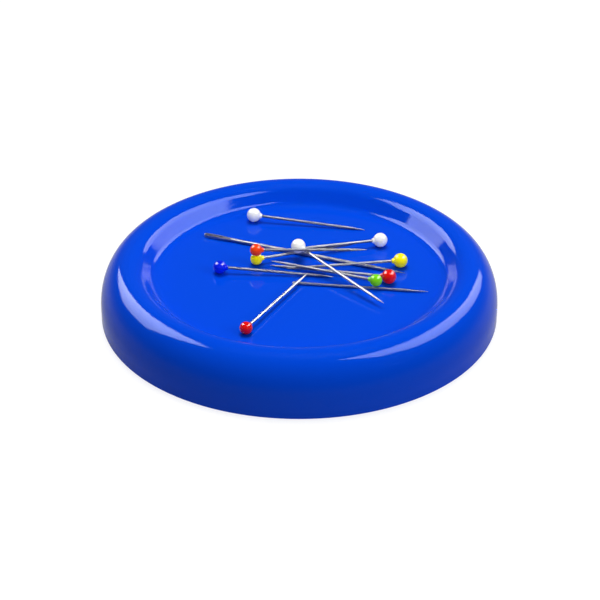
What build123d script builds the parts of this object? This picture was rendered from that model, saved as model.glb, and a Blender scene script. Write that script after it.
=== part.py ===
from build123d import *
import os
from dataclasses import dataclass
from math import asin, cos, degrees, hypot, radians, sin, sqrt, tan
from typing import Callable

# A magnetic pin bowl: a round moulded dish with a ring magnet under its floor, and the pins and
# needles that the magnet holds. Millimetres, z up, the origin on the table under the dish's centre.
# The dish is a thin shell of revolution. A rounded skirt rises to a soft crest, and inside the crest
# a rolled lip, a straight slope and a cove lead down to the flat floor.

# Dish shell
dish_radius = 54.4
upright_rise = 4.0
shoulder_run = 8.0
dish_rise = 15.75
recess_depth = 5.05
lip_radius = 5.0
cove_radius = 3.5
slope_angle = 48.5
wall = 2.0
skirt_edge_round = 0.4

# Rubber feet, seated in shallow recesses of the base cover
foot_radius = 5.0
foot_stand = 0.5
foot_recess = 0.5
foot_edge_round = 0.3
foot_gap = 0.1
foot_inset = 9.1
foot_count = 4
first_foot_bearing = 45.0

# Base cover, inside the skirt and flush with its lower edge
cover_gap = 0.3
cover_thickness = 2.0
pad_height = 0.7
pad_radius = 26.0
pad_width = 5.0

# Ring magnet in its collar, and the steel plate behind it
magnet_radius = 30.0
magnet_hole_radius = 12.0
magnet_chamfer = 0.6
magnet_gap = 0.25
collar_wall = 1.6
collar_gap = 0.3
plate_thickness = 1.0

# Self-tapping screws and the bosses that they hold in
screw_count = 3
screw_length = 8.0
screw_head_radius = 2.6
shank_radius = 1.2
screw_point_length = 1.5
screw_point_radius = 0.3
screw_gap = 0.1
shank_clearance = 0.25
boss_radius = 3.5
pilot_gap = 0.05
pilot_spare_depth = 0.4

# Ribs under the floor, from the collar out to the skirt, every second one through a boss
rib_count = 6
rib_thickness = 1.4
rib_seat_share = 0.75

# Ball pins
pin_length = 33.0
pin_radius = 0.38
pin_point_length = 5.0
large_head_radius = 2.0
middle_head_radius = 1.85
small_head_radius = 1.7
neck_length = 0.4
neck_end_radius = 0.6
neck_root_share = 0.42
bore_depth_share = 0.5
glue_gap = 0.02

# Darning needle with a long eye
darning_length = 60.0
darning_radius = 0.52
darning_point_length = 9.0
darning_eye_length = 5.2
darning_eye_width = 0.5
darning_end_width = 1.4
darning_end_thickness = 0.78

# Sewing needle with a small eye
sewing_length = 37.0
sewing_radius = 0.38
sewing_point_length = 6.0
sewing_eye_length = 2.0
sewing_eye_width = 0.3
sewing_end_width = 0.95
sewing_end_thickness = 0.58

# Sharp points of pins and needles: a long cone, then a short one to a small flat
point_break_share = 0.3
point_break_radius_share = 0.5
point_end_radius_share = 0.12

# How the pile lies. The gap keeps what rests on something just clear of it. Each item is pulled
# down at its balance point, and its clearances are tested at a number of stations.
lie_gap = 0.08
pin_balance_share = 0.35
needle_balance_share = 0.5
station_count = 240

# The pins and needles in the order in which they dropped into the dish, with the shares of the
# floor radius at which the middle of each one lies, across and then away
middle_shares = {
    "darning_needle": (0.028, 0.285),
    "sewing_needle": (0.431, -0.193),
    "white_back_pin": (0.075, 0.734),
    "blue_pin": (-0.161, -0.004),
    "red_right_pin": (0.214, 0.008),
    "yellow_right_pin": (0.323, 0.067),
    "green_pin": (0.168, -0.043),
    "yellow_left_pin": (0.076, 0.285),
    "white_right_pin": (0.197, 0.322),
    "white_middle_pin": (0.292, -0.125),
    "orange_pin": (0.089, 0.140),
    "red_front_pin": (-0.15, -0.411),
}

# Bearings of the sharp points in degrees, from across to the right
bearings = {
    "darning_needle": -21.4,
    "sewing_needle": -7.4,
    "white_back_pin": -9.9,
    "blue_pin": -4.5,
    "red_right_pin": 163.9,
    "yellow_right_pin": -173.0,
    "green_pin": 159.9,
    "yellow_left_pin": 18.9,
    "white_right_pin": -166.1,
    "white_middle_pin": -49.2,
    "orange_pin": 1.7,
    "red_front_pin": 61.2,
}

# Each pin's length as a share of the usual one, because the pins come from several packets
length_shares = {
    "white_back_pin": 1.037,
    "blue_pin": 1.003,
    "red_right_pin": 1.08,
    "yellow_right_pin": 1.008,
    "green_pin": 0.975,
    "yellow_left_pin": 0.993,
    "white_right_pin": 1.009,
    "white_middle_pin": 1.117,
    "orange_pin": 0.976,
    "red_front_pin": 1.074,
}

head_radii = {
    "white_back_pin": large_head_radius,
    "blue_pin": middle_head_radius,
    "red_right_pin": large_head_radius,
    "yellow_right_pin": large_head_radius,
    "green_pin": small_head_radius,
    "yellow_left_pin": small_head_radius,
    "white_right_pin": large_head_radius,
    "white_middle_pin": large_head_radius,
    "orange_pin": small_head_radius,
    "red_front_pin": small_head_radius,
}

# Heights above the table and radii that follow
skirt_bottom = foot_stand
upright_top = skirt_bottom + upright_rise
shoulder_rise = dish_rise - upright_rise
crest_height = skirt_bottom + dish_rise
crest_radius = dish_radius - shoulder_run
floor_height = crest_height - recess_depth
floor_underside = floor_height - wall
curve_fall = (lip_radius + cove_radius) * (1 - cos(radians(slope_angle)))
curve_run = (lip_radius + cove_radius) * sin(radians(slope_angle))
slope_run = (recess_depth - curve_fall) / tan(radians(slope_angle))
floor_radius = crest_radius - curve_run - slope_run
cover_radius = dish_radius - wall - cover_gap
foot_circle = cover_radius - foot_inset
cover_top = skirt_bottom + cover_thickness
plate_bottom = cover_top + pad_height
magnet_bottom = plate_bottom + plate_thickness
collar_radius = magnet_radius + magnet_gap
screw_circle = collar_radius + collar_wall / 2 + boss_radius
pilot_radius = shank_radius + pilot_gap
screw_head_height = screw_head_radius - shank_radius
rib_start_radius = collar_radius + collar_wall / 2
rib_end_radius = dish_radius - wall * rib_seat_share

os.makedirs("parts", exist_ok=True)


# Dish shell: one moulding with the magnet's collar, ribs and the screw bosses under its floor
with BuildPart() as dish_shell:
    with BuildSketch(Plane.XZ) as outer_form:
        with BuildLine():
            Polyline((0, floor_height), (0, skirt_bottom), (dish_radius, skirt_bottom),
                     (dish_radius, upright_top))
            EllipticalCenterArc((crest_radius, upright_top), shoulder_run, shoulder_rise,
                                start_angle=0, arc_size=90)
            lip = CenterArc((crest_radius, crest_height - lip_radius), lip_radius, 90, slope_angle)
            cove = CenterArc((floor_radius, floor_height + cove_radius), cove_radius, -90,
                             slope_angle)
            Line(lip @ 1, cove @ 1)
            Line(cove @ 0, (0, floor_height))
        make_face()
    revolve(axis=Axis.Z)
    with BuildSketch(Plane.XZ) as hollow:
        with BuildLine():
            Polyline((0, floor_underside), (0, skirt_bottom), (dish_radius - wall, skirt_bottom),
                     (dish_radius - wall, upright_top))
            EllipticalCenterArc((crest_radius, upright_top), shoulder_run - wall,
                                shoulder_rise - wall, start_angle=0, arc_size=90)
            lip = CenterArc((crest_radius, crest_height - lip_radius), lip_radius - wall, 90,
                            slope_angle)
            cove = CenterArc((floor_radius, floor_height + cove_radius), cove_radius + wall, -90,
                             slope_angle)
            Line(lip @ 1, cove @ 1)
            Line(cove @ 0, (0, floor_underside))
        make_face()
    revolve(axis=Axis.Z, mode=Mode.SUBTRACT)
    skirt_edge = dish_shell.edges().group_by(Axis.Z)[0].sort_by(SortBy.RADIUS)[-1]
    fillet(skirt_edge, skirt_edge_round)
    with BuildSketch(Plane.XY.offset(cover_top + collar_gap)):
        Circle(collar_radius + collar_wall)
        Circle(collar_radius, mode=Mode.SUBTRACT)
        with PolarLocations((rib_start_radius + rib_end_radius) / 2, rib_count):
            Rectangle(rib_end_radius - rib_start_radius, rib_thickness)
    extrude(amount=floor_underside + wall / 2 - cover_top - collar_gap)
    with BuildSketch(Plane.XY.offset(cover_top)):
        with PolarLocations(screw_circle, screw_count):
            Circle(boss_radius)
    extrude(amount=floor_underside + wall / 2 - cover_top)
    with BuildSketch(Plane.XY.offset(cover_top)):
        with PolarLocations(screw_circle, screw_count):
            Circle(pilot_radius)
    extrude(amount=screw_length - cover_thickness + pilot_spare_depth, mode=Mode.SUBTRACT)
dish_shell.part.label = "dish_shell"
export_step(dish_shell.part, "parts/dish_shell.step")


# Ring magnet, pressed up against the underside of the dish's floor
with BuildPart() as ring_magnet:
    with BuildSketch(Plane.XY.offset(magnet_bottom)):
        Circle(magnet_radius)
        Circle(magnet_hole_radius, mode=Mode.SUBTRACT)
    extrude(amount=floor_underside - magnet_bottom)
    chamfer(ring_magnet.edges().filter_by(GeomType.CIRCLE), magnet_chamfer)
ring_magnet.part.label = "ring_magnet"
export_step(ring_magnet.part, "parts/ring_magnet.step")


# Steel plate that turns the magnet's pull upwards
with BuildPart() as backing_plate:
    with BuildSketch(Plane.XY.offset(plate_bottom)):
        Circle(magnet_radius)
    extrude(amount=plate_thickness)
backing_plate.part.label = "backing_plate"
export_step(backing_plate.part, "parts/backing_plate.step")


# Base cover: a flat disc with a ring pad that holds the plate and magnet up
with BuildPart() as base_cover:
    with BuildSketch(Plane.XY.offset(skirt_bottom)):
        Circle(cover_radius)
    extrude(amount=cover_thickness)
    with BuildSketch(Plane.XY.offset(cover_top)):
        Circle(pad_radius)
        Circle(pad_radius - pad_width, mode=Mode.SUBTRACT)
    extrude(amount=pad_height)
    with Locations(Plane(origin=(0, 0, skirt_bottom), x_dir=(1, 0, 0), z_dir=(0, 0, -1))):
        with PolarLocations(screw_circle, screw_count):
            CounterSinkHole(shank_radius + shank_clearance, screw_head_radius + screw_gap,
                            cover_thickness, 90)
    with BuildSketch(Plane.XY.offset(skirt_bottom)):
        with PolarLocations(foot_circle, foot_count, first_foot_bearing):
            Circle(foot_radius + foot_gap)
    extrude(amount=foot_recess, mode=Mode.SUBTRACT)
base_cover.part.label = "base_cover"
export_step(base_cover.part, "parts/base_cover.step")


# Countersunk screws, from under the cover up into the bosses
screw_body_length = screw_length - screw_head_height - screw_point_length
with BuildPart() as base_screws:
    with BuildSketch(Plane.XY.offset(skirt_bottom)):
        with PolarLocations(screw_circle, screw_count):
            Circle(screw_head_radius)
    extrude(amount=screw_head_height, taper=45)
    with BuildSketch(Plane.XY.offset(skirt_bottom)):
        with PolarLocations(screw_circle, screw_count):
            Circle(shank_radius)
    extrude(amount=screw_head_height + screw_body_length)
    with Locations((0, 0, skirt_bottom + screw_head_height + screw_body_length)):
        with PolarLocations(screw_circle, screw_count):
            Cone(shank_radius, screw_point_radius, screw_point_length,
                 align=(Align.CENTER, Align.CENTER, Align.MIN))
base_screws.part.label = "base_screws"
export_step(base_screws.part, "parts/base_screws.step")


# Rubber feet
for number, place in enumerate(PolarLocations(foot_circle, foot_count, first_foot_bearing), start=1):
    with BuildPart() as foot:
        with BuildSketch(Plane.XY):
            with Locations(place.position):
                Circle(foot_radius)
        extrude(amount=foot_stand + foot_recess)
        fillet(foot.edges().group_by(Axis.Z)[0], foot_edge_round)
    foot.part.label = f"foot_{number}"
    export_step(foot.part, f"parts/foot_{number}.step")


@dataclass
class Lying:
    """A pin or needle in the dish, from its head's centre or its eye end to its sharp point.

    Its radius is a function of the distance from the start, and its heights are over the floor.
    """
    start: tuple[float, float]
    end: tuple[float, float]
    length: float
    head_radius: float
    radius_at: Callable[[float], float]
    balance_share: float
    start_height: float = 0.0
    end_height: float = 0.0

    def plan_point(self, distance):
        """Point of the axis in plan, this far from the start."""
        share = distance / self.length
        return tuple(a + (b - a) * share for a, b in zip(self.start, self.end))

    def axis_height(self, distance):
        """Height of the axis over the floor, this far from the start."""
        return self.start_height + (self.end_height - self.start_height) * distance / self.length

    def height_to_clear(self, point, radius):
        """Lowest axis height at which something of this radius passes over a plan point."""
        along_x, along_y = ((b - a) / self.length for a, b in zip(self.start, self.end))
        nearest = (point[0] - self.start[0]) * along_x + (point[1] - self.start[1]) * along_y
        lowest = 0.0
        for distance in (min(max(nearest, 0.0), self.length), 0.0):
            axis_x, axis_y = self.plan_point(distance)
            aside = hypot(point[0] - axis_x, point[1] - axis_y)
            reach = radius + self.radius_at(distance) + lie_gap
            if aside < reach:
                lowest = max(lowest, self.axis_height(distance) + sqrt(reach ** 2 - aside ** 2))
        return lowest


def height_in_dish(out_from_centre, radius):
    """Lowest axis height over the floor at which something of this radius clears the dish."""
    out = out_from_centre - floor_radius
    reach = cove_radius - radius
    reach_out = reach * sin(radians(slope_angle))
    if out <= 0:
        return radius
    if out < reach_out:
        return cove_radius - sqrt(reach ** 2 - out ** 2)
    foot = cove_radius - reach * cos(radians(slope_angle))
    return foot + (out - reach_out) * tan(radians(slope_angle))


def come_to_rest(item, pile):
    """Set the end heights of an item that is pulled down onto the floor and onto the pile.

    Each station along it has a lowest height, over the dish or over what lies under it there.
    The item rests on two of them, one on each side of its balance point. They are the two whose
    chord passes highest over that point, because any lower chord cuts through another station.
    """
    balance = item.balance_share * item.length
    before, after = [], []
    for step in range(station_count):
        share = (step + 0.5) / station_count
        distance = (item.length + item.head_radius) * share - item.head_radius
        radius = item.radius_at(abs(distance))
        point = item.plan_point(distance)
        lowest = height_in_dish(hypot(*point), radius + lie_gap)
        for other in pile:
            lowest = max(lowest, other.height_to_clear(point, radius))
        (before if distance < balance else after).append((distance, lowest))
    highest = 0.0
    for near, near_height in before:
        for far, far_height in after:
            slope = (far_height - near_height) / (far - near)
            over_balance = near_height + slope * (balance - near)
            if over_balance > highest:
                highest = over_balance
                item.start_height = near_height - slope * near
                item.end_height = near_height + slope * (item.length - near)


def pointed_radius(length, radius, point_length):
    """Radius along a shaft that ends in a point, as a function of the distance from its start."""
    def radius_at(distance):
        left = length - distance
        if left > point_length:
            return radius
        return radius * (point_end_radius_share
                         + (1 - point_end_radius_share) * sqrt(max(left, 0.0) / point_length))
    return radius_at


def pin_outline(length, head_radius):
    """Radius along a ball pin: the ball, its neck, then the shaft."""
    shaft_radius_at = pointed_radius(length, pin_radius, pin_point_length)

    def radius_at(distance):
        if distance < head_radius:
            return max(sqrt(head_radius ** 2 - distance ** 2), neck_end_radius)
        if distance < head_radius + neck_length:
            return neck_end_radius
        return shaft_radius_at(distance)
    return radius_at


def lying(name, length, head_radius, radius_at, balance_share):
    """An item over its place in the dish, before it comes to rest."""
    middle = [share * floor_radius for share in middle_shares[name]]
    bearing = radians(bearings[name])
    half = (cos(bearing) * length / 2, sin(bearing) * length / 2)
    start = (middle[0] - half[0], middle[1] - half[1])
    end = (middle[0] + half[0], middle[1] + half[1])
    return Lying(start, end, length, head_radius, radius_at, balance_share)


def axis_plane(item):
    """Plane through an item's axis, x towards its sharp point and z up."""
    start = Vector(*item.start, floor_height + item.start_height)
    end = Vector(*item.end, floor_height + item.end_height)
    along = (end - start).normalized()
    side = Vector(0, 0, 1).cross(along)
    return Plane(origin=start, x_dir=along, z_dir=along.cross(side))


def point_profile(length, radius, point_length):
    """Outline points of a sharp point, from the full shaft to the axis."""
    return [
        (length - point_length, radius),
        (length - point_length * point_break_share, radius * point_break_radius_share),
        (length, radius * point_end_radius_share),
        (length, 0),
    ]


def make_pin(name, item):
    """A ball pin: a moulded ball with a short neck, and the steel shaft that sits in its bore."""
    plane = axis_plane(item)
    turning_axis = Axis(plane.origin, plane.x_dir)
    ball = item.head_radius
    neck_root = ball * neck_root_share
    neck_end = ball + neck_length
    bore_end = -ball * bore_depth_share
    bore = pin_radius + glue_gap
    neck_angle = asin(neck_root_share)
    with BuildPart() as head:
        with BuildSketch(plane):
            with BuildLine():
                CenterArc((0, 0), ball, degrees(neck_angle), 180 - degrees(neck_angle))
                Polyline((ball * cos(neck_angle), neck_root), (neck_end, neck_end_radius),
                         (neck_end, bore), (bore_end, bore), (bore_end, 0), (-ball, 0))
            make_face()
        revolve(axis=turning_axis)
    head.part.label = f"{name}_head"
    export_step(head.part, f"parts/{name}_head.step")
    with BuildPart() as shaft:
        with BuildSketch(plane):
            with BuildLine():
                start = bore_end + glue_gap
                Polyline((start, 0), (start, pin_radius),
                         *point_profile(item.length, pin_radius, pin_point_length), close=True)
            make_face()
        revolve(axis=turning_axis)
    shaft.part.label = f"{name}_shaft"
    export_step(shaft.part, f"parts/{name}_shaft.step")


def make_needle(name, item, radius, point_length, eye_length, eye_width, end_width, end_thickness):
    """A needle: a turned shaft with a wider eye end, which is flattened and slotted through."""
    plane = axis_plane(item)
    half_end = end_width / 2
    rim = half_end - eye_width / 2
    eye_end = rim + eye_length
    blend_end = eye_end + 2 * end_width
    with BuildPart() as needle:
        with BuildSketch(plane):
            with BuildLine():
                CenterArc((half_end, 0), half_end, 90, 90)
                Polyline((half_end, half_end), (eye_end, half_end), (blend_end, radius),
                         *point_profile(item.length, radius, point_length), (0, 0))
            make_face()
        revolve(axis=Axis(plane.origin, plane.x_dir))
        for side in (1, -1):
            with BuildSketch(plane.offset(side * end_thickness / 2)):
                with Locations((blend_end / 2, 0)):
                    Rectangle(blend_end, 2 * end_width)
            extrude(amount=side * end_width, mode=Mode.SUBTRACT)
        with BuildSketch(plane):
            with Locations((rim + eye_length / 2, 0)):
                SlotOverall(eye_length, eye_width)
        extrude(amount=end_width, both=True, mode=Mode.SUBTRACT)
    needle.part.label = name
    export_step(needle.part, f"parts/{name}.step")


# The pile: each item comes to rest on the floor and on those that lie there already
needle_sizes = {
    "darning_needle": (darning_length, darning_radius, darning_point_length, darning_eye_length,
                       darning_eye_width, darning_end_width, darning_end_thickness),
    "sewing_needle": (sewing_length, sewing_radius, sewing_point_length, sewing_eye_length,
                      sewing_eye_width, sewing_end_width, sewing_end_thickness),
}
pile = {}
for name in middle_shares:
    if name in needle_sizes:
        length, radius, point_length = needle_sizes[name][:3]
        outline = pointed_radius(length, radius, point_length)
        item = lying(name, length, 0.0, outline, needle_balance_share)
    else:
        head_radius = head_radii[name]
        length = pin_length * length_shares[name] - head_radius
        outline = pin_outline(length, head_radius)
        item = lying(name, length, head_radius, outline, pin_balance_share)
    come_to_rest(item, pile.values())
    pile[name] = item
    if name in needle_sizes:
        make_needle(name, item, *needle_sizes[name][1:])
    else:
        make_pin(name, item)
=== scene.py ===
import math

import bmesh
import bpy
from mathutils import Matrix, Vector


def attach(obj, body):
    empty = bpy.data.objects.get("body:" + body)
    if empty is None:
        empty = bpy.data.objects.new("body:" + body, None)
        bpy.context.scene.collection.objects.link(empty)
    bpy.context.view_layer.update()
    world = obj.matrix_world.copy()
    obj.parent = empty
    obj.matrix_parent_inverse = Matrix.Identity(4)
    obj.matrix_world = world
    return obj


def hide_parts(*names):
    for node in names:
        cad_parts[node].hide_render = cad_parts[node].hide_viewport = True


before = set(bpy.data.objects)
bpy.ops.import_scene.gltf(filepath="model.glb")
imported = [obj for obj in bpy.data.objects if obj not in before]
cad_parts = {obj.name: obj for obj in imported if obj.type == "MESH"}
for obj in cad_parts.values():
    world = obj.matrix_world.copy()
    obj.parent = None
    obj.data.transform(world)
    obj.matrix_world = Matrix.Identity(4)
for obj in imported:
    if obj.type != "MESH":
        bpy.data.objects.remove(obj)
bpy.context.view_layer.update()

scene = bpy.context.scene
scene.view_settings.view_transform = "Standard"

MM_PER_M = 1000


def add(tree, kind, values={}, operation=None):
    """Add a shader node. A socket given as a value is linked, and anything else is typed in."""
    made = tree.nodes.new("ShaderNode" + kind)
    if operation:
        made.operation = operation
    for name, value in values.items():
        if isinstance(value, bpy.types.NodeSocket):
            tree.links.new(value, made.inputs[name])
        else:
            made.inputs[name].default_value = value
    return made


def empty_tree(owner):
    owner.use_nodes = True
    owner.node_tree.nodes.clear()
    return owner.node_tree


def ramp(tree, value, start, end, low, high):
    return add(tree, "MapRange", {"Value": value, "From Min": start, "From Max": end,
                                  "To Min": low, "To Max": high})


def larger(tree, one, other):
    return add(tree, "Math", {0: one, 1: other}, "MAXIMUM").outputs[0]


def mixed(tree, share, one, other):
    return add(tree, "MixShader", {0: share, 1: one.outputs[0], 2: other.outputs[0]})


# Materials

NOISE_LOW, NOISE_HIGH = 0.3, 0.7
PLASTIC_GRAIN, METAL_GRAIN = 900, 2500
PLASTIC_DETAIL, METAL_DETAIL = 2, 3
RIPPLE_GRAIN, RIPPLE_DETAIL, RIPPLE_HEIGHT, RIPPLE_STRENGTH = 90, 1, 0.00001, 0.3
EVEN = (1, 1, 1)
BRUSHED = (1, 12, 1)


def noise(tree, scale, detail, stretch=EVEN):
    where = add(tree, "TexCoord")
    mapping = add(tree, "Mapping", {"Vector": where.outputs["Object"], "Scale": stretch})
    made = add(tree, "TexNoise", {"Vector": mapping.outputs["Vector"], "Scale": scale, "Detail": detail})
    return made.outputs["Fac"]


def uneven(tree, grain, rough):
    return ramp(tree, grain, NOISE_LOW, NOISE_HIGH, *rough).outputs["Result"]


def principled(tree, values):
    shader = add(tree, "BsdfPrincipled", values)
    add(tree, "OutputMaterial", {"Surface": shader.outputs["BSDF"]})


def plastic(name, colour, rough=(0.08, 0.14), specular=0.38, tint=(1, 1, 1)):
    made = bpy.data.materials.new(name)
    tree = empty_tree(made)
    ripple = add(tree, "Bump", {"Height": noise(tree, RIPPLE_GRAIN, RIPPLE_DETAIL),
                                "Distance": RIPPLE_HEIGHT, "Strength": RIPPLE_STRENGTH})
    principled(tree, {
        "Base Color": (*colour, 1),
        "Specular IOR Level": specular,
        "Specular Tint": (*tint, 1),
        "Roughness": uneven(tree, noise(tree, PLASTIC_GRAIN, PLASTIC_DETAIL), rough),
        "Normal": ripple.outputs["Normal"],
    })
    return made


def metal(name, colour, rough, stretch=EVEN):
    made = bpy.data.materials.new(name)
    tree = empty_tree(made)
    principled(tree, {
        "Base Color": (*colour, 1),
        "Metallic": 1,
        "Roughness": uneven(tree, noise(tree, METAL_GRAIN, METAL_DETAIL, stretch), rough),
    })
    return made


needle_steel = metal("needle steel", (0.45, 0.45, 0.46), (0.34, 0.4))
screw_steel = metal("screw steel", (0.5, 0.5, 0.52), (0.2, 0.32))
LOOKS = {
    "dish_shell": plastic("dish plastic", (0, 0.058, 0.63), rough=(0.07, 0.1), specular=0.12, tint=(0.7, 0.88, 1)),
    "base_cover": plastic("cover plastic", (0, 0.04, 0.36), rough=(0.45, 0.6)),
    "ring_magnet": plastic("ferrite", (0.02, 0.02, 0.022), rough=(0.6, 0.8), specular=0.4),
    "backing_plate": metal("plate steel", (0.6, 0.61, 0.63), (0.25, 0.4), BRUSHED),
    "base_screws": screw_steel,
    "sewing_needle": needle_steel,
    "darning_needle": needle_steel,
}
HEADS = {
    "white": plastic("white head", (0.82, 0.82, 0.78)),
    "blue": plastic("blue head", (0, 0.012, 0.62)),
    "red": plastic("red head", (0.66, 0.003, 0.002)),
    "yellow": plastic("yellow head", (0.94, 0.82, 0.002)),
    "green": plastic("green head", (0.17, 0.6, 0.004)),
    "orange": plastic("orange head", (0.86, 0.05, 0.002)),
}
pin_steel = metal("pin steel", (0.35, 0.35, 0.36), (0.46, 0.52))
rubber = plastic("foot rubber", (0.03, 0.03, 0.032), rough=(0.7, 0.85), specular=0.3)


def look_of(name):
    if name.startswith("foot_"):
        return rubber
    if name.endswith("_shaft"):
        return pin_steel
    if name.endswith("_head"):
        return HEADS[name.split("_")[0]]
    return LOOKS[name]


for name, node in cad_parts.items():
    node.data.materials.clear()
    node.data.materials.append(look_of(name))


# The base screws again, each with a cross recess in its head. Their lengths are in millimetres: the
# profile's radii and heights, and the depth, half length and half width of the recess at either end

SCREW_CIRCLE = 34.55
SCREW_TURNS = (17, 52, -21)
SCREW_PROFILE = [(0, 0.5), (2.5, 0.5), (2.55, 0.55), (1.2, 1.9), (1.2, 7.0), (0.3, 8.5), (0, 8.5)]
RECESS_MOUTH = (0.35, 1.55, 0.42)
RECESS_END = (1.45, 0.6, 0.2)
STEPS = 48
SHARP_ANGLE = math.radians(30)
FULL_TURN = 2 * math.pi
QUARTER_TURN = math.pi / 2


def new_object(name, data):
    made = bpy.data.objects.new(name, data)
    scene.collection.objects.link(made)
    return made


def corner(bm, centre, x, y, z):
    return bm.verts.new((centre[0] + x / MM_PER_M, centre[1] + y / MM_PER_M, z / MM_PER_M))


def lathe(bm, centre):
    """Turn the screw's profile about its own axis."""
    rings = []
    for r, z in SCREW_PROFILE:
        angles = [FULL_TURN * k / STEPS for k in range(STEPS if r else 1)]
        rings.append([corner(bm, centre, r * math.cos(a), r * math.sin(a), z) for a in angles])
    for low, high in zip(rings, rings[1:]):
        for k in range(STEPS):
            after = (k + 1) % STEPS
            if len(low) == 1:
                bm.faces.new((low[0], high[after], high[k]))
            elif len(high) == 1:
                bm.faces.new((low[k], low[after], high[0]))
            else:
                bm.faces.new((low[k], low[after], high[after], high[k]))


def blade(bm, centre, turn):
    """Fill one slot of the cross recess, wide at its mouth and narrow at its end."""
    cosine, sine = math.cos(turn), math.sin(turn)
    corners = []
    for depth, length, width in (RECESS_MOUTH, RECESS_END):
        for x, y in ((-length, -width), (length, -width), (length, width), (-length, width)):
            corners.append(corner(bm, centre, cosine * x - sine * y, sine * x + cosine * y, depth))
    low, high = corners[:4], corners[4:]
    bm.faces.new(low[::-1])
    bm.faces.new(high)
    for k in range(4):
        after = (k + 1) % 4
        bm.faces.new((low[k], low[after], high[after], high[k]))


def at_each_screw(name, fill):
    bm = bmesh.new()
    for k, turn in enumerate(SCREW_TURNS):
        a = FULL_TURN * k / len(SCREW_TURNS)
        centre = (SCREW_CIRCLE / MM_PER_M * math.cos(a), SCREW_CIRCLE / MM_PER_M * math.sin(a))
        fill(bm, centre, math.radians(turn))
    bmesh.ops.recalc_face_normals(bm, faces=bm.faces)
    mesh = bpy.data.meshes.new(name)
    bm.to_mesh(mesh)
    bm.free()
    return new_object(name, mesh)


screws = at_each_screw("cross_screws", lambda bm, centre, turn: lathe(bm, centre))
cutters = [
    at_each_screw("cut_one", blade),
    at_each_screw("cut_two", lambda bm, centre, turn: blade(bm, centre, turn + QUARTER_TURN)),
]
for cutter in cutters:
    cut = screws.modifiers.new("recess", "BOOLEAN")
    cut.operation = "DIFFERENCE"
    cut.solver = "EXACT"
    cut.object = cutter
bpy.context.view_layer.update()
solid = bpy.data.meshes.new_from_object(screws.evaluated_get(bpy.context.evaluated_depsgraph_get()))
screws.modifiers.clear()
screws.data = solid
for cutter in cutters:
    bpy.data.objects.remove(cutter)
solid.shade_smooth()
solid.set_sharp_from_angle(angle=SHARP_ANGLE)
solid.materials.clear()
solid.materials.append(screw_steel)
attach(screws, "bowl")
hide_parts("base_screws")


# Softboxes: cards that only reflections see, and that fade downwards. Their corners are azimuths and
# elevations in degrees, seen from the dish

CENTRE = Vector((0, 0, 0.014))
CARD_DISTANCE = 1.2
FADE_BOTTOM, FADE_TOP = 0.2, 0.85
FADED_SHARE = 0.12
LEFT = [(122, 15), (123, 34), (132, 50), (150, 60), (178, 62), (174, 45), (170, 27), (146, 17)]
RIGHT = [(-50.2, 69.2), (-32, 52), (-12, 38.5), (0, 33), (24, 24), (44, 14), (52, 12), (57, 18), (56, 28),
         (44, 41), (26, 52), (5, 61), (-20, 67)]


def direction(azimuth, elevation, distance):
    a, e = math.radians(azimuth), math.radians(elevation)
    return distance * Vector((math.cos(e) * math.cos(a), math.cos(e) * math.sin(a), math.sin(e)))


def card(name, outline, strength):
    mesh = bpy.data.meshes.new(name)
    corners = [CENTRE + direction(a, e, CARD_DISTANCE) for a, e in outline]
    mesh.from_pydata([tuple(c) for c in corners], [], [tuple(range(len(corners)))])
    made = new_object(name, mesh)
    look = bpy.data.materials.new(name)
    look.cycles.emission_sampling = "NONE"
    tree = empty_tree(look)
    path = add(tree, "LightPath")
    place = add(tree, "NewGeometry")
    parts = add(tree, "SeparateXYZ", {"Vector": place.outputs["Position"]})
    fade = ramp(tree, parts.outputs["Z"], FADE_BOTTOM, FADE_TOP, FADED_SHARE * strength, strength)
    seen = add(tree, "Math", {0: path.outputs["Is Glossy Ray"], 1: fade.outputs["Result"]}, "MULTIPLY")
    glow = add(tree, "Emission", {"Strength": seen.outputs[0]})
    add(tree, "OutputMaterial", {"Surface": glow.outputs[0]})
    mesh.materials.append(look)
    made.visible_camera = False
    made.visible_shadow = False
    made.visible_diffuse = False


card("left_softbox", LEFT, 22)
card("right_softbox", RIGHT, 19)


# Lamps, each an area disk that no reflection sees

LAMPS = {
    "overhead": {"azimuth": 90, "elevation": 78, "distance": 1.3, "size": 0.8, "power": 15.2},
    "left": {"azimuth": 150, "elevation": 40, "distance": 1.3, "size": 0.5, "power": 0.6},
    "right": {"azimuth": -30, "elevation": 30, "distance": 1.3, "size": 0.6, "power": 5.2},
    "below": {"azimuth": 0, "elevation": -88, "distance": 1.0, "size": 0.6, "power": 6},
    "front": {"azimuth": -90, "elevation": 22, "distance": 1.3, "size": 0.6, "power": 4.6},
}


def aimed(made, location, aim):
    made.location = location
    made.rotation_euler = (aim - made.location).to_track_quat("-Z", "Y").to_euler()


def lamp(name, azimuth, elevation, distance, size, power):
    data = bpy.data.lights.new(name, "AREA")
    data.shape = "DISK"
    data.size = size
    data.energy = power
    made = new_object(name, data)
    aimed(made, CENTRE + direction(azimuth, elevation, distance), CENTRE)
    made.visible_glossy = False
    return made


lamps = {name: lamp(name, **facts) for name, facts in LAMPS.items()}

# The front lamp lights the pins and needles alone
pins = bpy.data.collections.new("pins")
for name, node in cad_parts.items():
    if name.endswith(("_head", "_shaft", "_needle")):
        pins.objects.link(node)
lamps["front"].light_linking.receiver_collection = pins


# World: white to the camera, and dimmer in reflections, where it darkens from the horizon up

HORIZON, REFLECTED_TOP = 0, 0.12
REFLECTED_AT_HORIZON, REFLECTED_ABOVE = 0.3, 0.12
AMBIENT_COLOUR, AMBIENT_STRENGTH = (0.95, 0.97, 1, 1), 0.32


def reflected(tree, path):
    return larger(tree, path.outputs["Is Glossy Ray"], path.outputs["Is Transmission Ray"])


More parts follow.
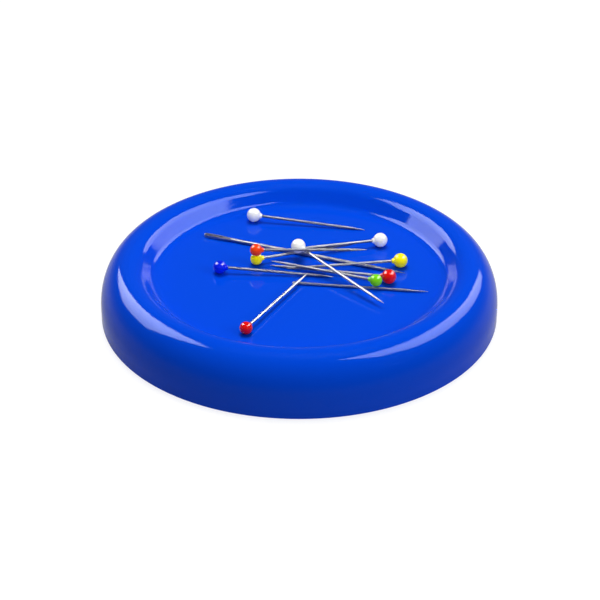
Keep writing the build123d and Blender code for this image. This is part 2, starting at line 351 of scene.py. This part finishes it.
world = bpy.data.worlds.new("studio")
scene.world = world
tree = empty_tree(world)
path = add(tree, "LightPath")
where = add(tree, "TexCoord")
parts = add(tree, "SeparateXYZ", {"Vector": where.outputs["Generated"]})
rise = ramp(tree, parts.outputs["Z"], HORIZON, REFLECTED_TOP, REFLECTED_AT_HORIZON, REFLECTED_ABOVE)
rise.interpolation_type = "SMOOTHSTEP"
ambient = add(tree, "Background", {"Color": AMBIENT_COLOUR, "Strength": AMBIENT_STRENGTH})
around = add(tree, "Background", {"Strength": rise.outputs["Result"]})
unseen = mixed(tree, reflected(tree, path), ambient, around)
backdrop = mixed(tree, path.outputs["Is Camera Ray"], unseen, add(tree, "Background"))
add(tree, "OutputWorld", {"Surface": backdrop.outputs[0]})


# Floor: white to the camera with the dish's shadow on it, dimmer in reflections and dimmest far from the
# dish, and open from below

FLOOR_REACH = 3.0
FLOOR_DROP = 0.00002
FLOOR_GREY = (0.35, 0.35, 0.35, 1)
SEEN_GREY = (0.2, 0.2, 0.2, 1)
SEEN_GLOW = 0.85
NEAR_REACH, FAR_REACH = 0.09, 0.2
NEAR_GLOW, FAR_GLOW = 0.32, 0.08

mesh = bpy.data.meshes.new("floor")
mesh.from_pydata([(-FLOOR_REACH, -FLOOR_REACH, 0), (FLOOR_REACH, -FLOOR_REACH, 0),
                  (FLOOR_REACH, FLOOR_REACH, 0), (-FLOOR_REACH, FLOOR_REACH, 0)], [], [(0, 1, 2, 3)])
floor = new_object("floor", mesh)
floor.location.z = -FLOOR_DROP
look = bpy.data.materials.new("floor")
tree = empty_tree(look)
path = add(tree, "LightPath")
spot = add(tree, "NewGeometry")
in_mirror = reflected(tree, path)
away = add(tree, "VectorMath", {0: spot.outputs["Position"]}, "LENGTH")
dim = ramp(tree, away.outputs["Value"], NEAR_REACH, FAR_REACH, NEAR_GLOW, FAR_GLOW)
level = ramp(tree, in_mirror, 0, 1, SEEN_GLOW, dim.outputs["Result"])
shaded = add(tree, "BsdfDiffuse", {"Color": SEEN_GREY})
glow = add(tree, "Emission", {"Strength": level.outputs["Result"]})
lit = add(tree, "AddShader", {0: shaded.outputs[0], 1: glow.outputs[0]})
paper = add(tree, "BsdfDiffuse", {"Color": FLOOR_GREY})
top = mixed(tree, larger(tree, path.outputs["Is Camera Ray"], in_mirror), paper, lit)
open_to = larger(tree, spot.outputs["Backfacing"], path.outputs["Is Shadow Ray"])
one_sided = mixed(tree, open_to, top, add(tree, "BsdfTransparent"))
add(tree, "OutputMaterial", {"Surface": one_sided.outputs[0]})
mesh.materials.append(look)


# Camera, fitted to the photograph: pixels for the focal length and the picture's centre

PICTURE = 600
FOCAL_LENGTH = 1952.85
PICTURE_CENTRE = (299.27, 308.54)
SENSOR = 36
AIM = Vector((0, 0, 0.0005))
CAMERA_AZIMUTH, CAMERA_ELEVATION, CAMERA_DISTANCE = -90, 31.1, 0.54
CLIP_START = 0.01

camera_data = bpy.data.cameras.new("camera")
camera = new_object("camera", camera_data)
scene.camera = camera
aimed(camera, AIM + direction(CAMERA_AZIMUTH, CAMERA_ELEVATION, CAMERA_DISTANCE), AIM)
camera_data.sensor_width = SENSOR
camera_data.lens = FOCAL_LENGTH / PICTURE * SENSOR
camera_data.shift_x = (PICTURE / 2 - PICTURE_CENTRE[0]) / PICTURE
camera_data.shift_y = (PICTURE_CENTRE[1] - PICTURE / 2) / PICTURE
camera_data.clip_start = CLIP_START
